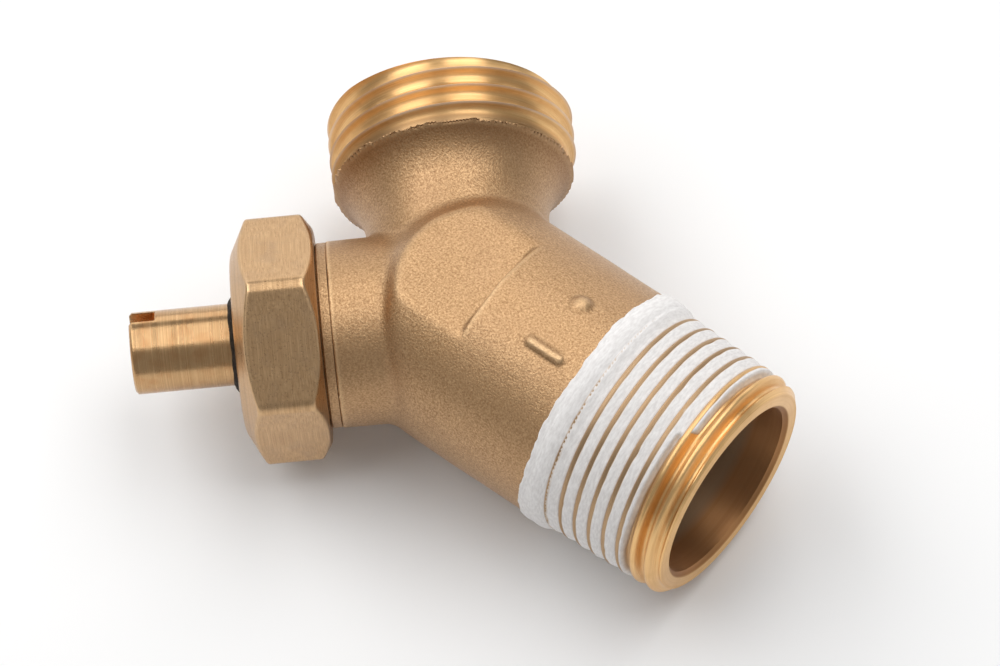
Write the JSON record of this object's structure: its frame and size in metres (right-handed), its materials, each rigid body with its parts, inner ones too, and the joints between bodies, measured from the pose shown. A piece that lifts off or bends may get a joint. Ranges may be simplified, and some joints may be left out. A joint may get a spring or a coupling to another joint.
{
  "type": "brass drain valve",
  "caption": "Angled brass drain valve with a pipe thread inlet, a hose thread outlet, a hexagonal packing nut and a slotted stem that lifts a seat washer.",
  "frame": {"origin": "centre of the inlet's end face, in the plane that holds the inlet, outlet and stem axes", "axes": "+X out of the inlet along its axis; +Z square to the plane of the three axes; +Y completes the frame, towards the hose outlet's side. The valve lies on its side on a surface below."},
  "size_m": [0.0642, 0.0545, 0.0276],
  "materials": {
    "forged_brass": "fine blasted grain on the forging, bright machined threads and faces",
    "milled_brass": "milled and lightly brushed",
    "turned_brass": "turned, with fine rings",
    "washer_brass": "stamped",
    "screw_brass": "bright",
    "sealant": "matt dried coat",
    "packing_black": "matt",
    "seat_rubber": "matt"
  },
  "bodies": {
    "valve": {"valve_body": "forged_brass", "thread_sealant": "sealant", "packing_nut": "milled_brass", "stem_packing": "packing_black", "packing_washer": "washer_brass"},
    "seat_disc": {"disc_holder": "turned_brass", "seat_washer": "seat_rubber", "washer_screw": "screw_brass"},
    "turning_stem": {"stem": "turned_brass"}
  },
  "joints": [
    {"name": "disc_lift", "type": "slide", "parent": "valve", "child": "seat_disc", "axis": [-0.7373, -0.6756, 0], "range_m": [0, 0.0045]},
    {"name": "stem_turn", "type": "hinge", "parent": "seat_disc", "child": "turning_stem", "pos_m": [-0.0347, 0, 0], "axis": [-0.7373, -0.6756, 0], "range_deg": [0, 1080]}
  ],
  "couplings": [
    {"joint": "stem_turn", "follows": "disc_lift", "rad_per_m": 4188.8}
  ]
}
